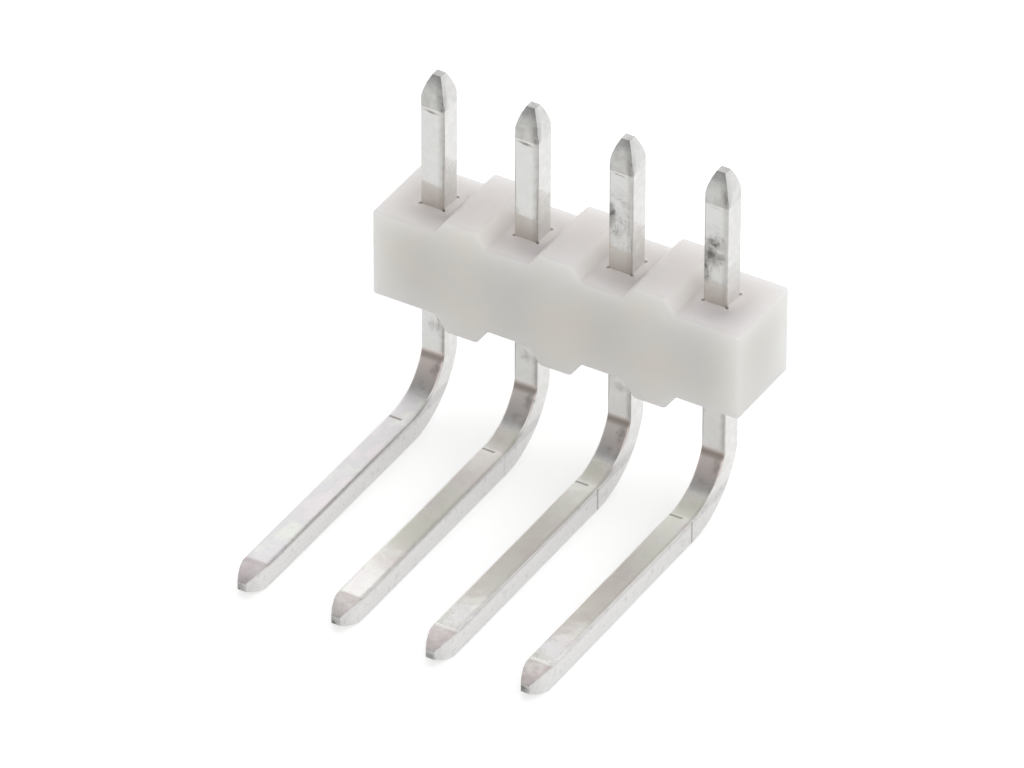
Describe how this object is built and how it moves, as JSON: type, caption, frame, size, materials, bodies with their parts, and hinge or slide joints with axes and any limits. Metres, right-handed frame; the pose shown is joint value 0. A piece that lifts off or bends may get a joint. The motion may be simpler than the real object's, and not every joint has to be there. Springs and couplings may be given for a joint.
{
  "type": "right-angle pin header",
  "caption": "Board pin header: a ribbed moulded bar holds square posts with short straight ends above it and long legs bent a right angle below it.",
  "frame": {"origin": "middle of the row of posts, level with the crests of the upper ribs, where the bar seats against a board", "axes": "+X along the row, -Y the way the bent legs point, +Z along the short straight ends of the posts"},
  "size_m": [0.0098, 0.0101, 0.0094],
  "materials": {
    "housing": "off-white moulded nylon, satin",
    "pins": "bright tin plating over brass"
  },
  "bodies": {
    "root": {"housing": "housing", "pin_1": "pins", "pin_2": "pins", "pin_3": "pins", "pin_4": "pins"}
  },
  "joints": []
}
